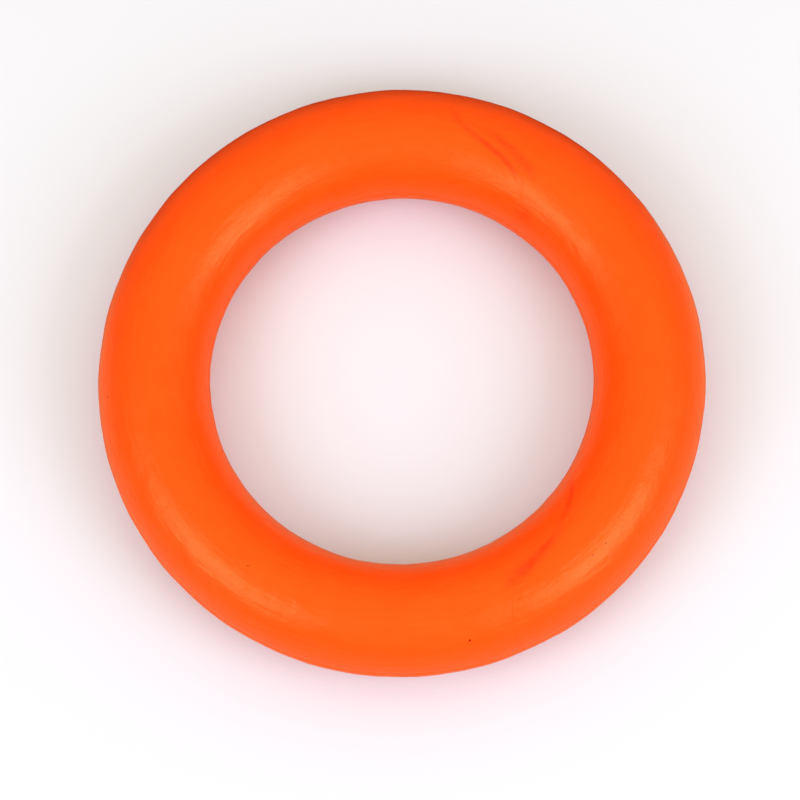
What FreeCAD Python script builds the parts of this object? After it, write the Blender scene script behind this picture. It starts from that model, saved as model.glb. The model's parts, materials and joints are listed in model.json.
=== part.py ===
import FreeCAD, Part
import math
import os

# A hollow rubber throwing ring, in millimetres.
# It lies flat: +Z is the ring's own axis, and the origin is the centre of the ring.
# The ring is two lengths of round rubber tube, spliced end to end with a layer of gum
# in each splice, and it holds air. A soft plug is bonded inside, under the needle hole.

# Driving dimensions
OUTER_DIAMETER = 170.0   # across the mould seam on the outside
HOLE_DIAMETER = 107.4    # across the mould seam in the hole
TUBE_DIAMETER = 31.0     # thickness of the ring as it lies on the ground
WALL = 5.3               # thickness of the tube's rubber wall

# The mould seam: a low buffed land right round the outside, and another round the hole
SEAM_LAND = 2.2          # height of the flat part of each land
SEAM_SLOPE = 0.5         # height over which each edge of a land runs out into the round tube

# The needle hole, by its angle round the ring and its angle up from the outer equator
NEEDLE_ROUND = -81.6
NEEDLE_UP = 47.5
NEEDLE_DIAMETER = 0.76

# The soft plug under the needle hole
PLUG_BASE_DIAMETER = 12.0   # where it is bonded to the wall
PLUG_TIP_DIAMETER = 8.0     # at the shoulder of its rounded end
PLUG_DEPTH = 5.0            # how far its shoulder stands in from the wall
PLUG_DOME = 1.4             # height of the rounded end beyond the shoulder

# Sizes that follow
RING_RADIUS = (OUTER_DIAMETER + HOLE_DIAMETER) / 4
SEAM_REACH = (OUTER_DIAMETER - HOLE_DIAMETER) / 4   # from the tube's centre line to a land
TUBE_RADIUS = TUBE_DIAMETER / 2
CAVITY_RADIUS = TUBE_RADIUS - WALL
CUT_MARGIN = 4.0                                    # how far a cutting shape runs past the tube

# Each splice runs across the tube on a slant that starts and ends gently, an S in plan.
# "middle" is its angle round the ring, and "swing" how far it turns either way, in degrees.
# "centre" and "run" place the steep part and give its length, as fractions of SEAM_REACH from
# the tube's centre line. "lean" is the slant left at the ends, in degrees. "swell" makes the
# gum thicker along the steep part, as a fraction of SEAM_REACH, with the sign of "swing".
UPPER_SPLICE = {"middle": 62.0, "swing": 10.0, "centre": -0.05, "run": 0.30, "lean": 3.0, "swell": 0.14}
LOWER_SPLICE = {"middle": -55.0, "swing": -16.0, "centre": -0.26, "run": 0.35, "lean": -2.0, "swell": -0.12}
GUM_ANGLE = 0.5       # thickness of the gum at the ends of a splice, in degrees round the ring
SPLICE_POINTS = 15    # points that the curve of a splice passes through


def polar(radius, degrees):
    """The point in plan at this radius and this angle round the ring."""
    angle = math.radians(degrees)
    return FreeCAD.Vector(radius * math.cos(angle), radius * math.sin(angle), 0)


def splice_angle(splice, side, radius):
    """The angle at which one face of a splice's gum lies, at this radius from the ring's axis.

    side is +1 for the face further round anticlockwise, and -1 for the other one.
    """
    place = (radius - RING_RADIUS) / SEAM_REACH
    steep = splice["centre"] - side * splice["swell"] / 2
    turn = splice["swing"] * math.tanh((place - steep) / splice["run"])
    return splice["middle"] + turn + splice["lean"] * place + side * GUM_ANGLE / 2


def splice_curve(splice, side):
    """One face of a splice's gum, as a curve in plan from inside the hole to outside the ring."""
    inner = RING_RADIUS - SEAM_REACH - CUT_MARGIN
    outer = RING_RADIUS + SEAM_REACH + CUT_MARGIN
    step = (outer - inner) / (SPLICE_POINTS - 1)
    radii = [inner + step * i for i in range(SPLICE_POINTS)]
    curve = Part.BSplineCurve()
    curve.interpolate([polar(r, splice_angle(splice, side, r)) for r in radii])
    return curve.toShape()


def arc(radius, from_angle, to_angle):
    """An arc round the ring's axis, anticlockwise."""
    if to_angle < from_angle:
        to_angle += 360
    middle = (from_angle + to_angle) / 2
    return Part.Arc(polar(radius, from_angle), polar(radius, middle), polar(radius, to_angle)).toShape()


def sector(first, first_side, last, last_side):
    """Everything between two splice faces, going anticlockwise from the first to the last."""
    inner = RING_RADIUS - SEAM_REACH - CUT_MARGIN
    outer = RING_RADIUS + SEAM_REACH + CUT_MARGIN
    edges = [
        splice_curve(first, first_side),
        arc(outer, splice_angle(first, first_side, outer), splice_angle(last, last_side, outer)),
        splice_curve(last, last_side),
        arc(inner, splice_angle(first, first_side, inner), splice_angle(last, last_side, inner)),
    ]
    face = Part.Face(Part.Wire(Part.__sortEdges__(edges)))
    half_height = TUBE_RADIUS + CUT_MARGIN
    face.translate(FreeCAD.Vector(0, 0, -half_height))
    return face.extrude(FreeCAD.Vector(0, 0, 2 * half_height))


def tube_outline():
    """The outside of the tube's section in the XZ plane: two round arcs and two seam lands."""
    land = SEAM_LAND / 2
    root = land + SEAM_SLOPE
    root_reach = math.sqrt(TUBE_RADIUS**2 - root**2)

    def at(reach, height):
        return FreeCAD.Vector(RING_RADIUS + reach, 0, height)

    def seam(side):
        """One land with its two sloping edges. side is +1 on the outside and -1 in the hole."""
        corners = [
            at(side * root_reach, -root),
            at(side * SEAM_REACH, -land),
            at(side * SEAM_REACH, land),
            at(side * root_reach, root),
        ]
        return [Part.makeLine(a, b) for a, b in zip(corners, corners[1:])]

    def crown(side):
        """The round top (+1) or bottom (-1) of the tube."""
        ends = [at(root_reach, side * root), at(-root_reach, side * root)]
        return Part.Arc(ends[0], at(0, side * TUBE_RADIUS), ends[1]).toShape()

    return Part.Wire(Part.__sortEdges__(seam(1) + [crown(1)] + seam(-1) + [crown(-1)]))


def hollow_ring():
    """The whole hollow ring before it is divided at the splices."""
    axis_point = FreeCAD.Vector(0, 0, 0)
    axis = FreeCAD.Vector(0, 0, 1)
    outside = Part.Face(tube_outline()).revolve(axis_point, axis, 360)
    return outside.cut(cavity())


def cavity():
    """The air space inside the tube."""
    return Part.makeTorus(RING_RADIUS, CAVITY_RADIUS)


def needle_frame():
    """A point on the tube's centre line by the needle hole, and the direction out through the hole."""
    round_angle = math.radians(NEEDLE_ROUND)
    up_angle = math.radians(NEEDLE_UP)
    level = math.cos(up_angle)
    outward = FreeCAD.Vector(
        level * math.cos(round_angle), level * math.sin(round_angle), math.sin(up_angle)
    )
    return polar(RING_RADIUS, NEEDLE_ROUND), outward


def needle_hole():
    """The fine hole through the wall."""
    middle, outward = needle_frame()
    start = middle + outward * (CAVITY_RADIUS - CUT_MARGIN)
    return Part.makeCylinder(NEEDLE_DIAMETER / 2, WALL + 2 * CUT_MARGIN, start, outward)


def long_tube():
    """The longer length of tube, with the needle hole."""
    length = hollow_ring().common(sector(UPPER_SPLICE, 1, LOWER_SPLICE, -1))
    return length.cut(needle_hole())


def short_tube():
    """The shorter length of tube."""
    return hollow_ring().common(sector(LOWER_SPLICE, 1, UPPER_SPLICE, -1))


def splice_gum(splice):
    """The layer of gum that joins two tube ends."""
    return hollow_ring().common(sector(splice, -1, splice, 1))


def valve_plug():
    """The soft plug bonded to the inside of the wall, under the needle hole."""
    middle, outward = needle_frame()
    inward = outward * -1
    base = middle + outward * (CAVITY_RADIUS + CUT_MARGIN)
    shoulder_depth = PLUG_DEPTH + CUT_MARGIN
    body = Part.makeCone(PLUG_BASE_DIAMETER / 2, PLUG_TIP_DIAMETER / 2, shoulder_depth, base, inward)
    tip_radius = PLUG_TIP_DIAMETER / 2
    ball_radius = (tip_radius**2 + PLUG_DOME**2) / (2 * PLUG_DOME)
    ball_centre = base + inward * (shoulder_depth + PLUG_DOME - ball_radius)
    ball = Part.makeSphere(ball_radius, ball_centre)
    beyond = Part.makeCylinder(tip_radius, 2 * PLUG_DOME, base + inward * shoulder_depth, inward)
    return body.fuse(ball.common(beyond)).common(cavity())


def main():
    pieces = {
        "long_tube": long_tube(),
        "short_tube": short_tube(),
        "upper_splice_gum": splice_gum(UPPER_SPLICE),
        "lower_splice_gum": splice_gum(LOWER_SPLICE),
        "valve_plug": valve_plug(),
    }
    os.makedirs("parts", exist_ok=True)
    for name, shape in pieces.items():
        shape.exportStep(f"parts/{name}.step")
        print(f"{name}: {len(shape.Solids)} solid, {shape.Volume / 1000:.2f} cm3, valid {shape.isValid()}")


main()
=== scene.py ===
import json
import math

import bpy
import numpy as np
from mathutils import Matrix, Vector


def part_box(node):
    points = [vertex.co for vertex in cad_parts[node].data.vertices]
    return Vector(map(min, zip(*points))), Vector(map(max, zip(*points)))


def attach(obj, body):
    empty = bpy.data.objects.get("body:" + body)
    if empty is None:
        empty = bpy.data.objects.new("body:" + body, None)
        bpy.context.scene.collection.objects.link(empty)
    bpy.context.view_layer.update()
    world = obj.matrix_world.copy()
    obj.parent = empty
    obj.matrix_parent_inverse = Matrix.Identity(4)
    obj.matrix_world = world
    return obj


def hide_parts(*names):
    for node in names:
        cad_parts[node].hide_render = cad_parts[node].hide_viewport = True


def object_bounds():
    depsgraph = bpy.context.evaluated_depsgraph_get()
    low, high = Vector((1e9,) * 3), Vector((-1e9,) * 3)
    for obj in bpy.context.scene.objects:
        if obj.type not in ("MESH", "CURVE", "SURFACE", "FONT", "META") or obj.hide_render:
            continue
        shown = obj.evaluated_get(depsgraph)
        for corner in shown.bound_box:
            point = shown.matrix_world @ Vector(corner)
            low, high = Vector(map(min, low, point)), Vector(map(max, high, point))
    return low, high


# An orange rubber throwing ring, lying on a pale table. All lengths are in metres.
# The two tube lengths, the gum in their splices and the valve plug are built here as fine meshes
# in the places that their CAD nodes hold.

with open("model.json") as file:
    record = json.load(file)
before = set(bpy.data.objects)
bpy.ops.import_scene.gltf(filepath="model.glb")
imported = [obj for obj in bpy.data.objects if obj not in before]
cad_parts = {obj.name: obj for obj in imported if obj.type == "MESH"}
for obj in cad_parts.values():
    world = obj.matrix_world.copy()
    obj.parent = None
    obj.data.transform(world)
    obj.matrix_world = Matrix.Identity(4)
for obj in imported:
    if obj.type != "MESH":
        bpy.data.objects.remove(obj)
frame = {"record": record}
cad_low, cad_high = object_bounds()

MM = 0.001

# The ring's main sizes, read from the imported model
TUBE_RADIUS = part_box("long_tube")[1].z
OUTER_RADIUS = -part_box("long_tube")[0].x
HOLE_RADIUS = frame["record"]["mounts"][0]["dims"]["r_mm"] * MM
RING_RADIUS = (OUTER_RADIUS + HOLE_RADIUS) / 2
SEAM_REACH = (OUTER_RADIUS - HOLE_RADIUS) / 2
WALL = 5.3 * MM
CAVITY_RADIUS = TUBE_RADIUS - WALL

# The buffed land along the mould seam
SEAM_LAND = 2.2 * MM
SEAM_SLOPE = 0.5 * MM

# The splices, as in the CAD model: angles in degrees, the rest as fractions of SEAM_REACH.
# A splice shows as a few soft redder strokes beside its gum. Each stroke runs along one gum face,
# between two places across the ring, so far from the face (mm), so wide (mm) and so strong (0 to 1).
UPPER_SPLICE = {
    "middle": 62.0, "swing": 10.0, "centre": -0.05, "run": 0.30, "lean": 3.0, "swell": 0.14, "seed": 11,
    "strokes": [
        {"side": 1, "start": 0.12, "end": -0.45, "offset": 0.0, "width": 0.9, "strength": 1.2},
        {"side": 1, "start": 0.50, "end": -0.10, "offset": 0.4, "width": 0.9, "strength": 0.5},
        {"side": -1, "start": 0.26, "end": -0.32, "offset": -1.6, "width": 1.3, "strength": 0.9},
        {"side": -1, "start": -0.64, "end": -0.96, "offset": -2.6, "width": 2.4, "strength": 0.5},
    ],
}
LOWER_SPLICE = {
    "middle": -55.0, "swing": -16.0, "centre": -0.26, "run": 0.35, "lean": -2.0, "swell": -0.12, "seed": 12,
    "strokes": [
        {"side": -1, "start": -0.88, "end": -0.38, "offset": -0.5, "width": 0.8, "strength": 1.0},
        {"side": -1, "start": -0.50, "end": -0.10, "offset": -0.2, "width": 0.8, "strength": 0.2},
        {"side": -1, "start": -0.36, "end": 0.12, "offset": -0.4, "width": 1.8, "strength": 1.0},
    ],
}
GUM_ANGLE = 0.5
GUM_WOBBLE = 0.25 * MM

# The needle hole, by its angles round the ring and up from the outer equator
NEEDLE_ROUND = math.radians(-81.6 + 360)
NEEDLE_UP = math.radians(47.5)
NEEDLE_RADIUS = 0.38 * MM

# The rings of points that shape the needle hole: its lip outside, its wall, and its mouth in the cavity
LIP_RADII = np.array([0.84, 0.68, 0.56, 0.48, 0.42]) * MM
LIP_HEIGHT = 0.03 * MM
LIP_MIDDLE = 0.62 * MM
LIP_WIDTH = 0.16 * MM
HOLE_DEPTHS = np.array([0.05, 0.2, 0.6, 1.5, 3.0, 4.4, 5.25]) * MM
MOUTH_RADII = np.array([0.5, 0.9]) * MM

# Tiny pits in the skin, each painted dark as its shade because the mesh has no hollows for them: angle
# round the ring, angle up from the outer equator, and radius (mm)
PITS = [(-51.4, 66, 0.36), (-47.7, 65, 0.30), (-131.1, 85, 0.28), (180, 37, 0.30)]

# The plug under the needle hole
PLUG_BASE_RADIUS = 6.0 * MM
PLUG_TIP_RADIUS = 4.0 * MM
PLUG_DEPTH = 5.0 * MM
PLUG_DOME = 1.4 * MM
PLUG_RIPPLE = 0.12 * MM         # height of the soft ridges round the plug's side
PLUG_STEPS = 64                 # points round the plug

# The fine shape of the moulded rubber: the height and size of each kind of bump
WAVE_HEIGHT = 0.06 * MM         # long, shallow unevenness of the wall
WAVE_SIZE = 16 * MM
DIMPLE_HEIGHT = 0.025 * MM      # dimples a few millimetres across
DIMPLE_SIZE = 5 * MM
PEEL_HEIGHT = 0.009 * MM        # fine orange-peel texture
PEEL_SIZE = 2.2 * MM
FLOW_HEIGHT = 0.012 * MM        # long, fine flow marks that run round the ring
FLOW_SIZE = 3 * MM
FLOW_STRETCH = 6                # how much longer than wide the flow marks are
CREASE_DEPTH = 0.015 * MM       # the line where the gum meets a tube end
CREASE_WIDTH = 0.30 * MM
HOLLOW_DEPTH = 0.03 * MM        # the shallow hollow that both tube ends make at a splice
HOLLOW_WIDTH = 3.5 * MM
GUM_CROWN = 0.01 * MM           # how far the middle of the gum stands proud of its edges

# Mesh steps
CELL = 0.65 * MM                # cells on the outside
EDGE_CELL = 0.10 * MM           # rows beside a splice
SECTION_CELLS = 150             # cells round the tube's section
CAVITY_SHARE = 4                # outside rows to each row of the cavity's wall
CAP_RINGS = 6                   # steps across an end face
GUM_ROWS = 16                   # rows across the gum
ROW_GROWTH = 1.25               # each row away from a splice to the row before it
SHARP_EDGE = math.radians(50)   # edges with a sharper turn than this are shaded as edges


# ---------------------------------------------------------------- shape of the ring

def section(turn):
    """Reach of the tube's outside from its centre line, at this angle up from the outer equator."""
    land = SEAM_LAND / 2
    root = land + SEAM_SLOPE
    root_reach = math.sqrt(TUBE_RADIUS**2 - root**2)
    across = np.abs(np.cos(turn)) + 1e-9
    rise = np.abs(np.sin(turn))
    slope = (SEAM_REACH - root_reach) / SEAM_SLOPE
    flat = SEAM_REACH / across
    edge = (SEAM_REACH + slope * land) / (across + slope * rise)
    return np.where(rise * TUBE_RADIUS < root, np.minimum(flat, edge), TUBE_RADIUS)


def wobble(splice, turn):
    """How far the hand-laid gum strays from its true line, along the ring."""
    waves = sum(np.sin(k * turn + splice["seed"] * k * k) / k for k in (3, 5, 8, 13))
    return GUM_WOBBLE * waves


def splice_angle(splice, side, turn, reach):
    """Angle round the ring of one face of a splice's gum, in radians."""
    radius = RING_RADIUS + reach * np.cos(turn)
    place = (radius - RING_RADIUS) / SEAM_REACH
    steep = splice["centre"] - side * splice["swell"] / 2
    swing = splice["swing"] * np.tanh((place - steep) / splice["run"])
    angle = splice["middle"] + swing + splice["lean"] * place + side * GUM_ANGLE / 2
    return np.radians(angle) + wobble(splice, turn) / radius


def squareness(splice, side, turn):
    """Cosine of the angle between a gum face and a square cut, on the tube's outside."""
    small = 1e-4
    ahead = splice_angle(splice, side, turn + small, section(turn + small))
    behind = splice_angle(splice, side, turn - small, section(turn - small))
    radius = RING_RADIUS + section(turn) * np.cos(turn)
    slope = radius * (ahead - behind) / (2 * small * TUBE_RADIUS)
    return 1 / np.sqrt(1 + slope**2)


def past_face(splice, side, around, turn):
    """How far points on the outside lie anticlockwise of one gum face."""
    angle = around - splice_angle(splice, side, turn, section(turn))
    angle = (angle + math.pi) % (2 * math.pi) - math.pi
    return angle * (RING_RADIUS + section(turn) * np.cos(turn)) * squareness(splice, side, turn)


def stroke_mark(splice, around, turn):
    """How strongly the redder strokes of a splice show on the outside, 0 to about 1."""
    place = section(turn) * np.cos(turn) / SEAM_REACH
    total = 0.0
    for stroke in splice["strokes"]:
        run = (place - stroke["start"]) / (stroke["end"] - stroke["start"])
        along = np.sin(math.pi * np.clip(run, 0, 1))
        across = past_face(splice, stroke["side"], around, turn) / MM - stroke["offset"]
        total = total + stroke["strength"] * along * np.exp(-(across / stroke["width"])**2)
    return total


def ripple(points, size, seed, waves):
    """A smooth random height for each point, about -1 to 1, with bumps of about this size."""
    rng = np.random.default_rng(seed)
    heading = rng.normal(size=(waves, points.shape[-1]))
    heading /= np.linalg.norm(heading, axis=1)[:, None]
    pitch = 2 * math.pi / (size * rng.uniform(0.7, 1.6, waves))
    phase = rng.uniform(0, 2 * math.pi, waves)
    height = np.sin(points @ (heading * pitch[:, None]).T + phase).sum(axis=-1)
    return height / math.sqrt(waves)


def at(around, turn, reach):
    """Points at these angles round the ring and round its section, this far from the tube's centre line."""
    radius = RING_RADIUS + reach * np.cos(turn)
    around, turn, reach, radius = np.broadcast_arrays(around, turn, reach, radius)
    return np.stack([radius * np.cos(around), radius * np.sin(around), reach * np.sin(turn)], axis=-1)


def flow_lines(around, turn):
    """Points for ripple() in which a step along the ring counts for little, so its bumps come out long."""
    ring = RING_RADIUS / FLOW_STRETCH
    return np.stack([
        ring * np.cos(around),
        ring * np.sin(around),
        TUBE_RADIUS * np.cos(turn),
        TUBE_RADIUS * np.sin(turn),
    ], axis=-1)


def skin_height(around, turn, edge):
    """Height of the fine relief on the outside. edge is each point's distance from the nearest gum face."""
    flat = at(around, turn, section(turn))
    height = WAVE_HEIGHT * ripple(flat, WAVE_SIZE, 1, 28)
    height = height + DIMPLE_HEIGHT * ripple(flat, DIMPLE_SIZE, 3, 40)
    height = height + PEEL_HEIGHT * ripple(flat, PEEL_SIZE, 2, 40)
    height = height + FLOW_HEIGHT * ripple(flow_lines(around, turn), FLOW_SIZE, 4, 40)
    height = height - CREASE_DEPTH * np.exp(-(edge / CREASE_WIDTH)**2)
    height = height - HOLLOW_DEPTH * np.exp(-(edge / HOLLOW_WIDTH)**2)
    return height


# ---------------------------------------------------------------- mesh building

class Builder:
    """Collects points, with their two attributes, and faces, and makes one mesh object."""

    def __init__(self):
        self.points = np.zeros((0, 3))
        self.edge = np.zeros(0)
        self.mark = np.zeros(0)
        self.faces = []

    def add(self, points, edge=1.0, mark=0.0):
        """Adds points and returns their numbers, in the points' own arrangement."""
        shape = points.shape[:-1]
        first = len(self.points)
        self.points = np.concatenate([self.points, points.reshape(-1, 3)])
        self.edge = np.concatenate([self.edge, np.broadcast_to(edge, shape).ravel()])
        self.mark = np.concatenate([self.mark, np.broadcast_to(mark, shape).ravel()])
        return first + np.arange(math.prod(shape)).reshape(shape)

    def band(self, first, second, flip=False):
        """Quads between two closed rings of points."""
        quads = np.stack([first, np.roll(first, -1), np.roll(second, -1), second], axis=1)
        self.faces.append(quads[:, ::-1] if flip else quads)

    def wall(self, grid, gap=None, flip=False):
        """Quads over a grid whose columns close on themselves. gap is a block of cells to leave open."""
        ahead = np.roll(grid, -1, axis=1)
        quads = np.stack([grid[:-1], grid[1:], ahead[1:], ahead[:-1]], axis=-1)
        keep = np.ones(quads.shape[:2], bool)
        if gap:
            keep[gap[0]:gap[1], gap[2]:gap[3]] = False
        quads = quads[keep]
        self.faces.append(quads[:, ::-1] if flip else quads)

    def cap(self, ring, tip, flip=False):
        """Triangles from a closed ring to one point."""
        triangles = np.stack([ring, np.roll(ring, -1), np.full_like(ring, tip)], axis=1)
        self.faces.append(triangles[:, ::-1] if flip else triangles)

    def make(self, name):
        """Makes the object, with smooth shading and the point attributes "edge" and "mark"."""
        mesh = bpy.data.meshes.new(name)
        faces = [face for block in self.faces for face in block.tolist()]
        mesh.from_pydata(self.points.tolist(), [], faces)
        mesh.polygons.foreach_set("use_smooth", [True] * len(mesh.polygons))
        mesh.set_sharp_from_angle(angle=SHARP_EDGE)
        for key, values in (("edge", self.edge), ("mark", self.mark)):
            attribute = mesh.attributes.new(key, "FLOAT", "POINT")
            attribute.data.foreach_set("value", values.astype(np.float32))
        piece = bpy.data.objects.new(name, mesh)
        bpy.context.scene.collection.objects.link(piece)
        return piece


def section_turns():
    """Angles round the section, with some of them moved onto the seam lands' corners."""
    turns = np.arange(SECTION_CELLS) * 2 * math.pi / SECTION_CELLS
    land = SEAM_LAND / 2
    corners = [math.atan2(land, SEAM_REACH), math.asin((land + SEAM_SLOPE) / TUBE_RADIUS)]
    for middle in (0, math.pi, 2 * math.pi):
        for corner in corners:
            for target in (middle - corner, middle + corner):
                if 0 < target < 2 * math.pi:
                    turns[np.abs(turns - target).argmin()] = target
    return turns


def tube_rows(length):
    """Where the rows along a tube stand, from 0 to 1: even in the middle, and closer towards both ends."""
    steps = [0.0]
    step = EDGE_CELL
    while steps[-1] < length / 2:
        steps.append(steps[-1] + step)
        step = min(step * ROW_GROWTH, CELL)
    half = np.array(steps[:-1]) / length
    return np.concatenate([half, 1 - half[::-1]])


def between(start, end, shares):
    """Angles in steps from one gum face to the next, anticlockwise."""
    end = np.where(end < start, end + 2 * math.pi, end)
    return start + shares[:, None] * (end - start)


def ring_piece(name, first, first_side, last, last_side, shares, cavity_shares, crown=0.0, needle=False):
    """One piece of the hollow ring, from one gum face round to another. shares says where its rows are."""
    turns = section_turns()
    build = Builder()

    outside = section(turns)
    start = splice_angle(first, first_side, turns, outside)
    end = splice_angle(last, last_side, turns, outside)
    around = between(start, end, shares)
    radius = RING_RADIUS + outside * np.cos(turns)
    from_start = (around - around[0]) * radius * squareness(first, first_side, turns)
    to_end = (around[-1] - around) * radius * squareness(last, last_side, turns)
    edge = np.minimum(from_start, to_end)
    turn_grid = np.broadcast_to(turns, around.shape)
    mark = stroke_mark(UPPER_SPLICE, around, turn_grid) + stroke_mark(LOWER_SPLICE, around, turn_grid)
    height = skin_height(around, turn_grid, edge) + crown * (4 * shares * (1 - shares))[:, None]
    outer = build.add(at(around, turn_grid, section(turn_grid) + height), edge, mark)

    inside = np.full_like(turns, CAVITY_RADIUS)
    start = splice_angle(first, first_side, turns, inside)
    end = splice_angle(last, last_side, turns, inside)
    cavity_around = between(start, end, cavity_shares)
    inner = build.add(at(cavity_around, turns, inside), 1.0, 0.0)

    outer_gap = cavity_gap = None
    if needle:
        # The cavity's cells are longer than the outside's, and both gaps have 16 points round them
        outer_gap = gap_at_needle(around, turns, 4, 4)
        cavity_gap = gap_at_needle(cavity_around, turns, 2, 6)
        needle_hole(build, outer, outer_gap, inner, cavity_gap)
    build.wall(outer, outer_gap)
    build.wall(inner, cavity_gap, flip=True)
    end_face(build, outer[0], inner[0], first, first_side, turns)
    end_face(build, outer[-1], inner[-1], last, last_side, turns, flip=True)
    return build.make(name)


def end_face(build, outer, inner, splice, side, turns, flip=False):
    """The cut face at one end of a piece, from the outside to the cavity."""
    rim = build.points[outer]
    skin_reach = np.linalg.norm(rim - at(np.arctan2(rim[:, 1], rim[:, 0]), turns, 0.0), axis=1)
    previous = outer
    for share in np.arange(1, CAP_RINGS) / CAP_RINGS:
        reach = skin_reach + (CAVITY_RADIUS - skin_reach) * share
        ring = build.add(at(splice_angle(splice, side, turns, reach), turns, reach), 0.0, 0.0)
        build.band(previous, ring, flip=flip)
        previous = ring
    build.band(previous, inner, flip=flip)


# ---------------------------------------------------------------- the needle hole

def needle_axes():
    """The tube's centre by the hole, and the directions along the ring, up the section and out."""
    level = np.array([math.cos(NEEDLE_ROUND), math.sin(NEEDLE_ROUND), 0])
    rise = np.array([0, 0, 1.0])
    along = np.array([-math.sin(NEEDLE_ROUND), math.cos(NEEDLE_ROUND), 0])
    outward = level * math.cos(NEEDLE_UP) + rise * math.sin(NEEDLE_UP)
    upward = rise * math.cos(NEEDLE_UP) - level * math.sin(NEEDLE_UP)
    return level * RING_RADIUS, along, upward, outward


def gap_at_needle(around, turns, rows, columns):
    """The block of cells about the needle hole: first and last row, first and last column."""
    column = np.abs(turns - NEEDLE_UP).argmin()
    row = np.abs(around[:, column] - NEEDLE_ROUND).argmin()
    first_row = row - rows // 2
    first_column = column - columns // 2
    return first_row, first_row + rows, first_column, first_column + columns


def border(grid, gap):
    """The points round a gap in a wall, anticlockwise as seen from outside."""
    top, bottom, left, right = gap
    return np.concatenate([
        grid[top:bottom, left],
        grid[bottom, left:right],
        grid[bottom:top:-1, right],
        grid[top, right:left:-1],
    ])


def needle_hole(build, outer, outer_gap, inner, cavity_gap):
    """The fine hole through the wall, with a small soft lip outside."""
    middle, along, upward, outward = needle_axes()

    def bearings(ring):
        offset = build.points[ring] - middle
        return np.unwrap(np.arctan2(offset @ upward, offset @ along))

    outer_border = border(outer, outer_gap)
    cavity_border = border(inner, cavity_gap)
    outer_bearing = bearings(outer_border)
    cavity_bearing = bearings(cavity_border)

    def ring_at(bearing, radius, height):
        """A ring about the hole's axis, this high above the tube's centre line."""
        side = radius * (np.outer(np.cos(bearing), along) + np.outer(np.sin(bearing), upward))
        return build.add(middle + side + np.multiply.outer(height, outward), 1.0, 0.0)

    def wall_height(bearing, radius, reach, ring_reach):
        """How high the wall stands along the hole's axis, at this distance from it."""
        sink = (radius * np.sin(bearing))**2 / (2 * reach)
        sink += (radius * np.cos(bearing))**2 / (2 * ring_reach)
        return reach - sink

    skin_here = np.linalg.norm(build.points[outer_border] - middle, axis=1)
    lift = (skin_here - TUBE_RADIUS).mean()
    ring_reach = RING_RADIUS / math.cos(NEEDLE_UP) + TUBE_RADIUS
    previous = outer_border
    for radius in LIP_RADII:
        lip = LIP_HEIGHT * math.exp(-((radius - LIP_MIDDLE) / LIP_WIDTH)**2)
        height = wall_height(outer_bearing, radius, TUBE_RADIUS, ring_reach) + lift + lip
        ring = ring_at(outer_bearing, radius, height)
        build.band(previous, ring)
        previous = ring
    for depth in HOLE_DEPTHS:
        share = min(depth / WALL, 1.0)
        bearing = outer_bearing + share * (cavity_bearing - outer_bearing)
        height = np.full_like(bearing, TUBE_RADIUS + lift * (1 - share) - depth)
        ring = ring_at(bearing, NEEDLE_RADIUS, height)
        build.band(previous, ring)
        previous = ring
    for radius in MOUTH_RADII:
        height = wall_height(cavity_bearing, radius, CAVITY_RADIUS, ring_reach)
        ring = ring_at(cavity_bearing, radius, height)
        build.band(previous, ring)
        previous = ring
    build.band(previous, cavity_border)


# ---------------------------------------------------------------- the pieces

def mean_length(first, first_side, last, last_side):
    """Length of a piece along the tube's centre line."""
    start = splice_angle(first, first_side, np.array([math.pi / 2]), 0.0)[0]
    end = splice_angle(last, last_side, np.array([math.pi / 2]), 0.0)[0]
    return ((end - start) % (2 * math.pi)) * RING_RADIUS


def make_tube(name, first, last, needle=False):
    """One length of tube, from the far side of one splice's gum to the near side of the next."""
    rows = tube_rows(mean_length(first, 1, last, -1))
    cavity_rows = np.concatenate([rows[:-1:CAVITY_SHARE], [1.0]])
    return ring_piece(name, first, 1, last, -1, rows, cavity_rows, needle=needle)


def make_gum(name, splice):
    """The layer of gum in one splice."""
    rows = np.linspace(0, 1, GUM_ROWS + 1)
    return ring_piece(name, splice, -1, splice, 1, rows, rows[::CAVITY_SHARE], crown=GUM_CROWN)


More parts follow.
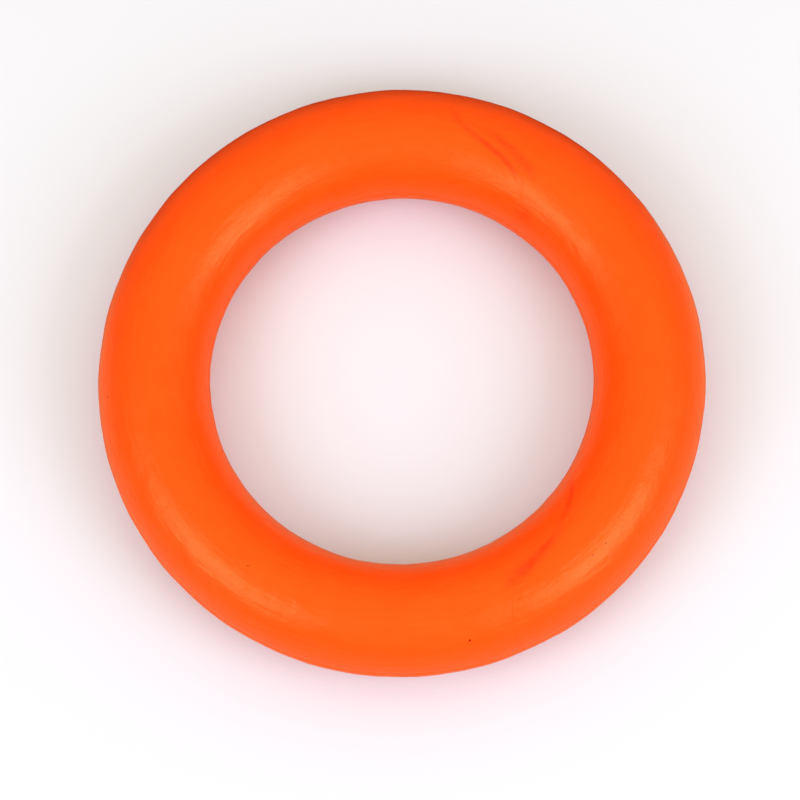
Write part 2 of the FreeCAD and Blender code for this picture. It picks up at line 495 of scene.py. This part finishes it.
def make_plug(name):
    """The soft plug on the cavity's wall: a tapered button with a rounded end and a soft edge."""
    middle, along, upward, outward = needle_axes()
    build = Builder()
    bearing = np.arange(PLUG_STEPS) * 2 * math.pi / PLUG_STEPS

    def wall_height(offsets):
        """How high the cavity's wall stands along the hole's axis over these offsets from it."""
        low = np.zeros(len(offsets))
        high = np.full(len(offsets), 2 * CAVITY_RADIUS)
        for _ in range(40):
            height = (low + high) / 2
            points = middle + offsets + np.outer(height, outward)
            reach = np.hypot(np.hypot(points[:, 0], points[:, 1]) - RING_RADIUS, points[:, 2])
            inside = reach < CAVITY_RADIUS
            low = np.where(inside, height, low)
            high = np.where(inside, high, height)
        return low

    def sideways(radius):
        return radius * (np.outer(np.cos(bearing), along) + np.outer(np.sin(bearing), upward))

    tip = build.add((middle + outward * wall_height(np.zeros((1, 3)))[0])[None])[0]
    previous = None
    for radius in np.linspace(0.6 * MM, PLUG_BASE_RADIUS, 12):
        offsets = sideways(radius)
        ring = build.add(middle + offsets + np.outer(wall_height(offsets), outward))
        if previous is None:
            build.cap(ring, tip)
        else:
            build.band(ring, previous)
        previous = ring
    base = wall_height(sideways(PLUG_BASE_RADIUS))
    shoulder = CAVITY_RADIUS - PLUG_DEPTH
    for share in np.linspace(0.04, 1, 16):
        swell = PLUG_RIPPLE * math.sin(share * math.pi * 5) * (1 - share)
        radius = PLUG_BASE_RADIUS + (PLUG_TIP_RADIUS - PLUG_BASE_RADIUS) * share**0.8 + swell
        height = base + (shoulder - base) * share
        ring = build.add(middle + sideways(radius) + np.outer(height, outward))
        build.band(ring, previous)
        previous = ring
    for share in np.linspace(0.1, 0.95, 10):
        angle = share * math.pi / 2
        radius = PLUG_TIP_RADIUS * math.cos(angle)
        height = shoulder - PLUG_DOME * math.sin(angle)
        ring = build.add(middle + sideways(radius) + height * outward)
        build.band(ring, previous)
        previous = ring
    tip = build.add((middle + outward * (shoulder - PLUG_DOME))[None])[0]
    build.cap(previous, tip, flip=True)
    return build.make(name)


pieces = [
    (make_tube("long_tube_rubber", UPPER_SPLICE, LOWER_SPLICE, needle=True), "long_tube", "ring_rubber"),
    (make_tube("short_tube_rubber", LOWER_SPLICE, UPPER_SPLICE), "short_tube", "ring_rubber"),
    (make_gum("upper_gum_layer", UPPER_SPLICE), "upper_splice_gum", "splice_gum"),
    (make_gum("lower_gum_layer", LOWER_SPLICE), "lower_splice_gum", "splice_gum"),
    (make_plug("plug_button"), "valve_plug", "plug_gum"),
]
for piece, node, slot in pieces:
    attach(piece, "root")
    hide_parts(node)


# ---------------------------------------------------------------- materials

class Nodes:
    """Short ways to add nodes to one node tree."""

    def __init__(self, tree):
        self.tree = tree

    def node(self, kind, **settings):
        made = self.tree.nodes.new(kind)
        for key, value in settings.items():
            setattr(made, key, value)
        return made

    def link(self, output, socket):
        self.tree.links.new(output, socket)

    def feed(self, value, socket):
        if isinstance(value, bpy.types.NodeSocket):
            self.link(value, socket)
        else:
            socket.default_value = value

    def attribute(self, name):
        """One of the point attributes that Builder.make() gives every mesh."""
        return self.node("ShaderNodeAttribute", attribute_name=name).outputs["Fac"]

    def where(self):
        return self.node("ShaderNodeTexCoord").outputs["Object"]

    def axis(self, vector, letter):
        made = self.node("ShaderNodeSeparateXYZ")
        self.link(vector, made.inputs[0])
        return made.outputs[letter]

    def math(self, operation, first, second=0.0, clamp=False):
        made = self.node("ShaderNodeMath", operation=operation, use_clamp=clamp)
        self.feed(first, made.inputs[0])
        self.feed(second, made.inputs[1])
        return made.outputs[0]

    def vector_math(self, operation, first, second=(0, 0, 0)):
        made = self.node("ShaderNodeVectorMath", operation=operation)
        self.feed(first, made.inputs[0])
        self.feed(second, made.inputs[1])
        return made.outputs["Value" if operation in ("LENGTH", "DISTANCE", "DOT_PRODUCT") else "Vector"]

    def noise(self, vector, scale, detail=3.0, roughness=0.5, distortion=0.0):
        made = self.node("ShaderNodeTexNoise")
        self.link(vector, made.inputs["Vector"])
        made.inputs["Scale"].default_value = scale
        made.inputs["Detail"].default_value = detail
        made.inputs["Roughness"].default_value = roughness
        made.inputs["Distortion"].default_value = distortion
        return made.outputs["Fac"]

    def flow_noise(self, where, scale):
        """Noise in long streaks that run round the ring, as flow_lines() makes them."""
        level = self.vector_math("MULTIPLY", where, (1, 1, 0))
        ring = RING_RADIUS / FLOW_STRETCH
        along = self.vector_math("MULTIPLY", self.vector_math("NORMALIZE", level), (ring, ring, ring))
        across = self.node("ShaderNodeCombineXYZ")
        self.link(self.math("SUBTRACT", self.vector_math("LENGTH", level), RING_RADIUS), across.inputs["Z"])
        made = self.node("ShaderNodeTexNoise", noise_dimensions="4D")
        self.link(self.vector_math("ADD", along, across.outputs[0]), made.inputs["Vector"])
        self.link(self.axis(where, "Z"), made.inputs["W"])
        made.inputs["Scale"].default_value = scale
        made.inputs["Detail"].default_value = 3.0
        return made.outputs["Fac"]

    def span(self, value, low, high, new_low=0.0, new_high=1.0):
        """Maps low to high smoothly onto new_low to new_high, and holds it there beyond both ends."""
        made = self.node("ShaderNodeMapRange", interpolation_type="SMOOTHSTEP")
        self.link(value, made.inputs["Value"])
        made.inputs["From Min"].default_value = low
        made.inputs["From Max"].default_value = high
        made.inputs["To Min"].default_value = new_low
        made.inputs["To Max"].default_value = new_high
        return made.outputs["Result"]

    def mix(self, amount, first, second):
        made = self.node("ShaderNodeMix", data_type="RGBA")
        self.feed(amount, made.inputs[0])
        self.feed(first, made.inputs[6])
        self.feed(second, made.inputs[7])
        return made.outputs[2]

    def bump(self, height, distance, strength=1.0, below=None):
        made = self.node("ShaderNodeBump")
        made.inputs["Distance"].default_value = distance
        made.inputs["Strength"].default_value = strength
        self.link(height, made.inputs["Height"])
        if below:
            self.link(below, made.inputs["Normal"])
        return made.outputs["Normal"]


class MaterialNodes(Nodes):
    """The same for one new material, with its shader."""

    def __init__(self, name):
        self.material = bpy.data.materials.new(name)
        self.material.use_nodes = True
        super().__init__(self.material.node_tree)
        self.shader = self.tree.nodes["Principled BSDF"]


ORANGE = (0.96, 0.069, 0.0008, 1)
DEEP_ORANGE = (0.95, 0.067, 0.0006, 1)
WARM_ORANGE = (0.97, 0.072, 0.0010, 1)
SPLICE_RED = (0.92, 0.027, 0.0004, 1)
# The next colour is painted shade for the pits in the skin
PIT_SHADE_BROWN = (0.42, 0.02, 0.0005, 1)
PLUG_TAN = (0.50, 0.31, 0.11, 1)
PLUG_LIGHT_TAN = (0.62, 0.42, 0.18, 1)
GLOSS_TINT = (1.0, 0.98, 0.25, 1)

# Noise scales, in cells to the metre
MOTTLE_SCALE = 45
PATCH_SCALE = 150
STREAK_SCALE = 320
SMEAR_SCALE = 90
FLOW_SCALE = 650
PEEL_SCALE = 900
GRAIN_SCALE = 3200
PLUG_CLOUD_SCALE = 500
PLUG_GRAIN_SCALE = 2500

# The rubber's roughness: the smears go from the first to the second, and the flow marks add the third
LEAST_ROUGH = 0.28
MOST_ROUGH = 0.33
FLOW_ROUGH = 0.06


def rubber_color(n, where):
    """Orange with faint mottling and warmer patches."""
    mottle = n.span(n.noise(where, MOTTLE_SCALE, 4, 0.55), 0.35, 0.68)
    color = n.mix(mottle, DEEP_ORANGE, ORANGE)
    patches = n.span(n.noise(where, PATCH_SCALE, 3, 0.5, 0.6), 0.5, 0.75)
    return n.mix(n.math("MULTIPLY", patches, 0.5), color, WARM_ORANGE)


def add_splice_stain(n, where, color):
    """The redder strokes beside a splice, broken up by fine streaks."""
    streaks = n.span(n.noise(where, STREAK_SCALE, 4, 0.65, 0.4), 0.30, 0.60, 0.4, 1.0)
    stain = n.math("MULTIPLY", n.attribute("mark"), streaks, clamp=True)
    return n.mix(stain, color, SPLICE_RED)


def add_pit_shade(n, where, color):
    """Painted shade: a dark spot with a soft edge at each of the pits, which have no hollows in the mesh.
    """
    for around, turn, radius in PITS:
        middle = at(np.radians(around), np.radians(turn), np.array(TUBE_RADIUS))
        gap = n.vector_math("DISTANCE", where, middle)
        pit_shade = n.span(gap, 0.5 * radius * MM, 1.6 * radius * MM, 0.9, 0.0)
        color = n.mix(pit_shade, color, PIT_SHADE_BROWN)
    return color


def add_gum_line(n, color):
    """A faint red line where a tube end meets the gum."""
    line = n.span(n.attribute("edge"), 0.05 * MM, 0.35 * MM, 0.15, 0.0)
    return n.mix(line, color, SPLICE_RED)


def ring_rubber(name):
    """Moulded orange rubber, satin, redder along the splices."""
    n = MaterialNodes(name)
    where = n.where()
    color = rubber_color(n, where)
    color = add_splice_stain(n, where, color)
    # Painted shade: the pits are darkened in colour, not hollowed in the mesh
    color = add_pit_shade(n, where, color)
    color = add_gum_line(n, color)
    n.link(color, n.shader.inputs["Base Color"])
    n.shader.inputs["Specular IOR Level"].default_value = 0.5
    n.shader.inputs["Specular Tint"].default_value = GLOSS_TINT

    flow = n.flow_noise(where, FLOW_SCALE)
    smear = n.span(n.noise(where, SMEAR_SCALE, 4, 0.6), 0.3, 0.7, LEAST_ROUGH, MOST_ROUGH)
    flow_rough = n.span(flow, 0.3, 0.7, 0.0, FLOW_ROUGH)
    n.link(n.math("ADD", smear, flow_rough), n.shader.inputs["Roughness"])
    normal = n.bump(flow, 0.28 * MM, 0.7)
    normal = n.bump(n.noise(where, PEEL_SCALE, 2, 0.5), 0.11 * MM, 0.6, normal)
    normal = n.bump(n.noise(where, GRAIN_SCALE, 2, 0.5), 0.05 * MM, 0.6, normal)
    n.link(normal, n.shader.inputs["Normal"])
    return n.material


def plug_rubber(name):
    """Soft tan gum rubber, cloudy and matt."""
    n = MaterialNodes(name)
    where = n.where()
    cloud = n.noise(where, PLUG_CLOUD_SCALE, 4, 0.6)
    color = n.mix(n.span(cloud, 0.35, 0.65), PLUG_TAN, PLUG_LIGHT_TAN)
    n.link(color, n.shader.inputs["Base Color"])
    n.link(n.span(cloud, 0.3, 0.7, 0.5, 0.65), n.shader.inputs["Roughness"])
    n.link(n.bump(n.noise(where, PLUG_GRAIN_SCALE, 3), 0.02 * MM, 0.6), n.shader.inputs["Normal"])
    return n.material


materials = {
    "ring_rubber": ring_rubber("orange_rubber"),
    "splice_gum": ring_rubber("splice_gum_rubber"),
    "plug_gum": plug_rubber("plug_rubber"),
}
for piece, node, slot in pieces:
    piece.data.materials.append(materials[slot])


# ---------------------------------------------------------------- stage, light and camera

FLOOR_COLOR = (0.71, 0.72, 0.66, 1)
FLOOR_REFLECTED = (0.52, 0.42, 0.18, 1)    # the floor's colour as the ring reflects it
FLOOR_HALF = 3.0
CARD_COLOR = (0.03, 0.001, 0.001, 1)
CARD_REACH = 0.5
CARD_FADE = (0.025, 0.085)          # the card fades in between these distances behind the ring's middle
CARD_STEPS = 96

BRIGHT_WAY = (0.08, -0.22, 0.97)    # where the room is brightest
BRIGHT_LIGHT = 1.28
DIM_LIGHT = 0.10
GLOSS_SHARE = 0.035                 # how much of the room's light shows in reflections
ROOM_COLOR = (1.0, 0.97, 0.91, 1)
BACKDROP_COLOR = (0.93, 0.90, 0.91, 1)

SOFTBOX_SIZE = 0.6
SOFTBOX_DISTANCE = 1.1
SOFTBOX_COLOR = (1.0, 0.98, 1.55)

CAMERA_ELEVATION = math.radians(74.18)
CAMERA_ROLL = math.radians(-5.47)
CAMERA_DISTANCE = 1.038
CAMERA_AIM = Vector((-0.00099, -0.00627, 0))
CAMERA_SENSOR = 36
CAMERA_LENS = 167.05


def add_flat(name, points, faces, material):
    """A flat piece of the stage."""
    mesh = bpy.data.meshes.new(name)
    mesh.from_pydata(points, [], faces)
    mesh.materials.append(material)
    made = bpy.data.objects.new(name, mesh)
    bpy.context.scene.collection.objects.link(made)
    return made


def make_floor():
    """A pale table top, just under the lowest bump of the ring."""
    n = MaterialNodes("table")
    reflected = n.node("ShaderNodeLightPath").outputs["Is Glossy Ray"]
    n.link(n.mix(reflected, FLOOR_COLOR, FLOOR_REFLECTED), n.shader.inputs["Base Color"])
    n.shader.inputs["Roughness"].default_value = 0.5
    corners = [(-1, -1), (1, -1), (1, 1), (-1, 1)]
    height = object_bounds()[0].z
    points = [(FLOOR_HALF * x, FLOOR_HALF * y, height) for x, y in corners]
    add_flat("floor", points, [(0, 1, 2, 3)], n.material)


def make_dark_card():
    """A dark card on the table round the back of the ring, which shows only in the ring's reflections."""
    n = MaterialNodes("dark_card")
    n.shader.inputs["Base Color"].default_value = CARD_COLOR
    n.shader.inputs["Specular IOR Level"].default_value = 0.0
    n.link(n.span(n.axis(n.where(), "Y"), *CARD_FADE), n.shader.inputs["Alpha"])
    height = cad_low.z + 0.5 * MM
    points = []
    for step in range(CARD_STEPS + 1):
        angle = math.pi * step / CARD_STEPS
        for reach in (OUTER_RADIUS + 2 * MM, CARD_REACH):
            points.append((reach * math.cos(angle), reach * math.sin(angle), height))
    faces = [(2 * k, 2 * k + 1, 2 * k + 3, 2 * k + 2) for k in range(CARD_STEPS)]
    card = add_flat("dark_card", points, faces, n.material)
    card.visible_camera = False
    card.visible_diffuse = False
    card.visible_shadow = False


def softbox(name, azimuth, elevation, power):
    """A soft square light that faces the ring. Azimuth is anticlockwise from +X."""
    light = bpy.data.lights.new(name, "AREA")
    light.shape = "SQUARE"
    light.size = SOFTBOX_SIZE
    light.energy = power
    light.color = SOFTBOX_COLOR
    lamp = bpy.data.objects.new(name, light)
    around, up = math.radians(azimuth), math.radians(elevation)
    way = Vector((math.cos(around) * math.cos(up), math.sin(around) * math.cos(up), math.sin(up)))
    lamp.location = way * SOFTBOX_DISTANCE
    lamp.rotation_mode = "QUATERNION"
    lamp.rotation_quaternion = way.to_track_quat("Z", "Y")
    bpy.context.scene.collection.objects.link(lamp)


def make_room():
    """A pale room, brightest high up in front of the ring and dim low down behind it."""
    world = bpy.data.worlds.new("room")
    world.use_nodes = True
    world.cycles.sampling_method = "NONE"
    world.node_tree.nodes.clear()
    n = Nodes(world.node_tree)
    way = n.node("ShaderNodeTexCoord").outputs["Generated"]
    light = n.span(n.vector_math("DOT_PRODUCT", way, BRIGHT_WAY), -0.3, 0.9, DIM_LIGHT, BRIGHT_LIGHT)
    path = n.node("ShaderNodeLightPath")
    share = n.span(path.outputs["Is Glossy Ray"], 0.0, 1.0, 1.0, GLOSS_SHARE)
    lit = n.node("ShaderNodeBackground")
    lit.inputs["Color"].default_value = ROOM_COLOR
    n.link(n.math("MULTIPLY", light, share), lit.inputs["Strength"])
    backdrop = n.node("ShaderNodeBackground")
    backdrop.inputs["Color"].default_value = BACKDROP_COLOR
    choose = n.node("ShaderNodeMixShader")
    n.link(path.outputs["Is Camera Ray"], choose.inputs[0])
    n.link(lit.outputs[0], choose.inputs[1])
    n.link(backdrop.outputs[0], choose.inputs[2])
    n.link(choose.outputs[0], n.node("ShaderNodeOutputWorld").inputs["Surface"])
    bpy.context.scene.world = world


def make_lights():
    softbox("right_softbox", -35, 40, 4.05)
    softbox("left_softbox", -153, 42, 3.6)


def make_camera():
    """The camera stands in front of the ring and looks down on it, turned a little about its own axis."""
    back = Vector((0, -math.cos(CAMERA_ELEVATION), math.sin(CAMERA_ELEVATION)))
    right = Vector((1, 0, 0))
    up = back.cross(right)
    turned_right = math.cos(CAMERA_ROLL) * right + math.sin(CAMERA_ROLL) * up
    turned_up = math.cos(CAMERA_ROLL) * up - math.sin(CAMERA_ROLL) * right
    data = bpy.data.cameras.new("camera")
    data.sensor_width = CAMERA_SENSOR
    data.lens = CAMERA_LENS
    camera = bpy.data.objects.new("camera", data)
    camera.matrix_world = Matrix((turned_right, turned_up, back)).transposed().to_4x4()
    camera.location = CAMERA_AIM + back * CAMERA_DISTANCE
    bpy.context.scene.collection.objects.link(camera)
    bpy.context.scene.camera = camera


make_floor()
make_dark_card()
make_room()
make_lights()
make_camera()
bpy.context.scene.view_settings.view_transform = "Standard"
